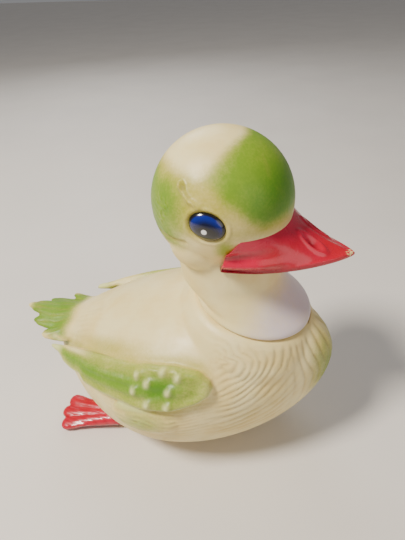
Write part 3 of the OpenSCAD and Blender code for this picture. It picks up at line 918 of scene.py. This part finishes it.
def paint_head(piece, co, groove):
    neck = neck_chart(co)
    local = (co - HEAD) / HEAD_RADIUS
    cloud = noise(local[:, 0] * 3.2 + 20, local[:, 2] * 3.2 + local[:, 1] * 2.0)
    x, y, z = local[:, 0], np.abs(local[:, 1]), local[:, 2]
    skull = smooth_step(-0.55, -0.3, z)

    crown_low = 0.62 + 0.8 * np.maximum(0, x + 0.1) ** 1.2
    crown = smooth_step(crown_low - 0.1, crown_low + 0.13, z + 0.1 * (cloud - 0.5))
    green_low = np.maximum(0.06, 0.45 - 0.75 * (x - 0.2))
    forehead = smooth_step(-0.1, 0.34, x + 0.2 * (cloud - 0.5))
    forehead = forehead * smooth_step(green_low - 0.14, green_low + 0.1, z)
    forehead_core = bump(np.hypot((x - 0.85) / 0.62, (z - 0.3) / 0.62), 1.0)
    back = smooth_step(-0.12, -0.6, x) * smooth_step(-0.5, -0.2, z) * (1 - smooth_step(0.38, 0.66, z))
    face = smooth_step(-0.22, 0.0, z) * (1 - crown)
    near_beak = bump(np.hypot((x - 0.28) / 0.2, (z + 0.3) / 0.3), 1.0) * smooth_step(0.6, 0.8, y)
    cheek_shade = bump(np.hypot((x + 0.35) / 0.6, (z + 0.62) / 0.16), 1.0)
    tan = bump(np.hypot((x - 0.48) / 0.36, (z - 0.05) / 0.28), 1.0) * smooth_step(0.5, 0.8, y)

    strong = np.maximum(forehead * (1 - crown) * (0.3 + 0.7 * forehead_core), 0.7 * back * (0.5 + 0.7 * cloud))
    fresh = np.maximum(forehead * (1 - crown), 0.85 * back)
    fresh = np.maximum(fresh, 0.65 * near_beak)
    olive = np.maximum(np.maximum(fresh, 0.85 * face), np.maximum(0.5 * cheek_shade, near_beak))
    olive = olive * (1 - 0.35 * tan)
    bib = smooth_step(24, 12, neck[:, 2]) * smooth_step(-0.1, 0.7, neck[:, 0] / BIB_RADIUS + 0.1)

    paint_mask(piece, "strong", strong * skull)
    paint_mask(piece, "fresh", fresh * skull)
    paint_mask(piece, "olive", olive * skull)
    paint_mask(piece, "lilac", bib)
    # The groove mask carries the painted shade in the cheek fold and round the sockets.
    paint_mask(piece, "groove", groove)


# ---------------------------------------------------------------- bill
BILL_TIP = beak_high[0]
BILL_LOW = beak_low[2]
BILL_EDGE = BILL_LOW + 2.6
BILL_CORNER = HEAD[0] + 6.0
BILL_SWEEP = math.radians(73)


def bill_root(q, radius, z):
    """Line round the face at a share q of the way from the middle to a mouth corner."""
    return np.stack([HEAD[0] + radius * np.cos(BILL_SWEEP * q), radius * np.sin(BILL_SWEEP * q), z + 0 * q], -1)


def bill_rim(q):
    """The bill's outer edge, round at the tip and widest at the mouth corners."""
    share = 1 - np.abs(q) ** 1.6
    x = BILL_CORNER + (BILL_TIP - 1.2 - BILL_CORNER) * share
    return np.stack([x, np.sign(q) * 27.0 * (1 - share ** 1.75) ** 0.85, BILL_EDGE + 0 * q], -1)


def build_bill():
    q = np.sin(np.linspace(-1, 1, 241) * np.pi / 2) * 0.999
    q = 0.5 * q + 0.5 * np.linspace(-0.999, 0.999, 241)
    root = bill_root(q, 32.3, HEAD[2] - 5.6)
    root[:, 2] += 0.8 * q ** 2 - 6.0 * smooth_step(0.84, 1.0, np.abs(q))
    rim = bill_rim(q)
    out = unit((rim - root) * np.array([1, 1, 0.0]))
    s = np.linspace(0, 1, 110)[None, :, None]
    fall = 1.65 - 0.6 * np.abs(q)[:, None, None]
    top = root[:, None] * (1 - s) + rim[:, None] * s
    top[..., 2] = (rim[:, None, 2:] + (root[:, None, 2:] - rim[:, None, 2:]) * (1 - s) ** fall)[..., 0]
    top = bill_relief(top, np.abs(q)[:, None], s[..., 0])
    bend = np.linspace(0, np.pi, 14)[None, 1:-1, None]
    middle = (BILL_EDGE + BILL_LOW) / 2
    edge = rim[:, None] * np.array([1, 1, 0]) + out[:, None] * 1.2 * np.sin(bend)
    edge[..., 2] = middle + (BILL_EDGE - middle) * np.cos(bend[..., 0])
    back = np.linspace(0, 1, 16)[None, 1:, None]
    under = (rim[:, None] * (1 - back) + bill_root(q, 20.0, BILL_LOW)[:, None] * back) * np.array([1, 1, 0.0])
    under[..., 2] = BILL_LOW + 0.9 * bump(back[..., 0] - 0.12, 0.12)
    inner = bill_root(q, 29.6, root[:, 2] - 1.4)[:, None]
    points = np.concatenate([inner, top, edge, under], 1)
    piece = new_piece("bill_skin", closed_skin(points, points[0].mean(0), points[-1].mean(0)))
    paint_bill(piece)
    return finished(piece, "head", "red_beak", red_gloss("glossy_red_bill", 0.2, 0.32), "beak")


NOSTRIL = np.array([HEAD[0] + 43.0, 6.6])


def bill_relief(top, side, s):
    """Rolled mouth corners, a ridge along the middle, nostrils and hand-moulded unevenness."""
    x, y, z = top[..., 0], top[..., 1], top[..., 2]
    away = unit(np.stack([x - HEAD[0], y, 0 * x], -1))
    corner = smooth_step(0.5, 0.86, side)
    roll = (2.0 * bump(z - BILL_EDGE - 2.4, 3.6) - 0.6 * bump(z - BILL_EDGE - 7.8, 3.0)) * corner
    top = top + away * roll[..., None]
    reach = np.hypot((x - NOSTRIL[0]) / 5.2, (np.abs(y) - NOSTRIL[1]) / 2.4)
    lift = 0.9 * bump(reach - 1.15, 0.55) - 1.2 * bump(reach, 0.85)
    middle_ridge = 0.7 * bump(y, 3.2) * smooth_step(0.1, 0.3, s) * (1 - smooth_step(0.75, 0.95, s))
    lift = lift + middle_ridge * (side < 0.3)
    lift = lift + 0.4 * (noise(x / 9, y / 8) - 0.5) * smooth_step(0.05, 0.2, s) * (1 - smooth_step(0.75, 1, s))
    top[..., 2] += lift
    return top


def paint_bill(piece):
    co = points_of(piece)
    chip, chip_half = np.array([BILL_TIP - 1.5, -3.0, BILL_EDGE]), np.array([3.4, 6.0, 2.0])
    from_tip = np.linalg.norm((co - chip) / chip_half, axis=1)
    ragged = noise(co[:, 1] * 1.7, co[:, 0] * 1.7) * 0.7
    # Darker red along the bill's underside, in the fold above the mouth corners and in the nostril pits:
    # painted shade.
    low_side = bump(co[:, 2] - BILL_LOW - 0.6, 2.4) * smooth_step(BILL_TIP - 4, BILL_TIP - 30, co[:, 0])
    corner = bump(co[:, 2] - BILL_EDGE - 7.6, 2.0) * smooth_step(HEAD[0] + 26, HEAD[0] + 14, co[:, 0])
    nostril = np.hypot((co[:, 0] - NOSTRIL[0]) / 4, (np.abs(co[:, 1]) - NOSTRIL[1]) / 1.8)
    bill_shade = np.maximum(0.7 * low_side, 0.6 * corner)
    paint_mask(piece, "deep", np.maximum(bill_shade, 0.75 * bump(nostril, 1.0) * (co[:, 2] > BILL_EDGE + 1)))
    paint_mask(piece, "chip", smooth_step(1.0, 0.8, from_tip + ragged))


# ---------------------------------------------------------------- eyes
def build_eye(side):
    name = "eye_right" if side == RIGHT else "eye_left"
    node = "right_eye" if side == RIGHT else "left_eye"
    skin = oval_skin(EYE_CENTRE, EYE_HALF, EYE_TILT, 150, 160)
    if side == RIGHT:
        skin = mirrored(skin)
    piece = new_piece(name, skin)
    a, b, _ = eye_chart(points_of(piece))
    from_middle = np.hypot(a, b)
    pupil = np.hypot((a - 0.14) / 0.6, (b + 0.42) / 0.6)
    dot = np.hypot((a + 0.03) * EYE_HALF[0], (b + 0.24) * EYE_HALF[2])
    upper_arc = np.hypot(a - 0.1, b + 0.25)
    blue = smooth_step(0.55, 1.0, upper_arc) * (1 - 0.75 * smooth_step(0.25, -0.35, b))
    paint_mask(piece, "blue", blue)
    paint_mask(piece, "black", np.maximum(smooth_step(1.06, 0.9, pupil), smooth_step(0.8, 0.88, from_middle)))
    paint_mask(piece, "white", smooth_step(1.3, 1.0, dot))
    return finished(piece, "head", "eye_gloss", eye_gloss(), node)


# ---------------------------------------------------------------- feet
def build_foot(side):
    name = "foot_right" if side == RIGHT else "foot_left"
    node = "right_foot" if side == RIGHT else "left_foot"
    low, _ = box_mm(node)
    heel = np.array([-40.0, 32.0, 7.5])
    turn = turn_matrix("Z", math.radians(-9)) @ turn_matrix("X", math.radians(-13))
    length, half_wide = 35.0, 8.6
    skins = []
    for toe, reach in ((-1, 0.93), (0, 1.0), (1, 0.95)):
        tip = heel + turn @ np.array([-length * reach, toe * half_wide, -2.6])
        middle = heel + turn @ np.array([-length * 0.55, toe * half_wide * 0.62, -1.2])
        start = heel + turn @ np.array([5.0, toe * 1.5, 0.6])
        widths, thicks = [10, 9, 8.5, 9.6, 8.6], [9, 7.5, 6.2, 5.8, 5.0]
        skins.append(feather_skin([start, middle, tip], widths, thicks, (0, 0, 1)))
    web_middles = [(2.0, 0, 0), (-length * 0.5, 0, -1.6), (-length * 0.9, 0, -2.8)]
    web_spine = [heel + turn @ np.array(point) for point in web_middles]
    skins.append(feather_skin(web_spine, [10, 15, 20, 23, 22], [8, 6.2, 5.0, 4.4, 3.8], (0, 0, 1)))
    if side == RIGHT:
        skins = [mirrored(s) for s in skins]
    piece = moulded(name, skins, 0.4, 6)
    co = points_of(piece)
    lines = 1 - strands(co[:, 1] - co[:, 0] * 0.15 * side, co[:, 0], 2.4, 18)
    raise_skin(piece, -0.14 * lines * (co[:, 2] > 4.0))
    co = points_of(piece)
    co[:, 2] = np.maximum(co[:, 2], low[2])
    set_points(piece, co)
    # Darker red in the foot's recessed lines: painted shade.
    paint_mask(piece, "deep", 0.5 * lines)
    worn = smooth_step(low[0] + 2.6, low[0] + 0.6, co[:, 0]) * (noise(co[:, 1] * 0.8, co[:, 2]) > 0.55)
    paint_mask(piece, "chip", 0.6 * worn)
    return finished(piece, "body", "red_foot", red_gloss(name + "_red", 0.26, 0.4), node)


# ---------------------------------------------------------------- studio
def build_floor():
    size = 4.0
    mesh = bpy.data.meshes.new("floor")
    corners = [(-size, -size, 0), (size, -size, 0), (size, size, 0), (-size, size, 0)]
    mesh.from_pydata(corners, [], [(0, 1, 2, 3)])
    floor = bpy.data.objects.new("floor", mesh)
    bpy.context.scene.collection.objects.link(floor)
    finish = Finish("pale_floor")
    finish.base(paint(226, 220, 212), paint(222, 216, 208), 8)
    finish.roughness(0.5, 0.62, 20)
    floor.data.materials.append(finish.done())
    floor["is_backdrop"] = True


def area_light(name, place, aim, size, power, colour):
    data = bpy.data.lights.new(name, "AREA")
    data.shape = "DISK"
    data.size = size
    data.energy = power
    data.color = colour
    light = bpy.data.objects.new(name, data)
    light.location = place
    light.rotation_euler = (Vector(aim) - Vector(place)).to_track_quat("-Z", "Y").to_euler()
    bpy.context.scene.collection.objects.link(light)


def build_studio():
    build_floor()
    aim = (0.0, 0.0, 0.08)
    area_light("key", (-0.42, -0.40, 0.95), aim, 0.24, 18.0, (1.0, 0.93, 0.83))
    area_light("fill", (0.9, -0.5, 0.5), aim, 0.8, 2.4, (1.0, 0.93, 0.88))
    area_light("back", (-0.5, 0.8, 0.7), aim, 0.6, 3.6, (0.95, 0.97, 1.0))
    world = bpy.data.worlds.new("studio")
    world.use_nodes = True
    world.node_tree.nodes["Background"].inputs["Color"].default_value = (0.9, 0.9, 0.92, 1)
    world.node_tree.nodes["Background"].inputs["Strength"].default_value = 0.26
    bpy.context.scene.world = world


def build_camera():
    azimuth, pitch, roll = math.radians(18.5), math.radians(36.0), math.radians(2.91)
    level = math.cos(pitch)
    ahead = Vector((-math.sin(azimuth) * level, math.cos(azimuth) * level, -math.sin(pitch)))
    right = ahead.cross(Vector((0, 0, 1))).normalized()
    up = right.cross(ahead)
    tilted_right = right * math.cos(roll) - up * math.sin(roll)
    tilted_up = right * math.sin(roll) + up * math.cos(roll)
    data = bpy.data.cameras.new("camera")
    data.sensor_width = 36.0
    data.lens = 28.13
    data.clip_start = 0.01
    camera = bpy.data.objects.new("camera", data)
    axes = Matrix((tilted_right, tilted_up, -ahead)).transposed().to_4x4()
    camera.matrix_world = Matrix.Translation((0.073, -0.172, 0.242)) @ axes
    bpy.context.scene.collection.objects.link(camera)
    bpy.context.scene.camera = camera


build_camera()
build_studio()
build_body()
build_head()
build_bill()
for side in (RIGHT, LEFT):
    build_eye(side)
    build_foot(side)

nylon, film = moulded_nylon(), amber_film()
for node, material in (("squeaker_housing", nylon), ("squeaker_cap", nylon), ("reed_bed", nylon),
                       ("reed_clamp", nylon), ("squeaker_reed", film)):
    part = frame["nodes"][node]
    part.data.materials.clear()
    part.data.materials.append(material)

plain = lambda box: [list(map(float, corner)) for corner in box]
{"cad": plain(cad_box), "visual": plain(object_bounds())}
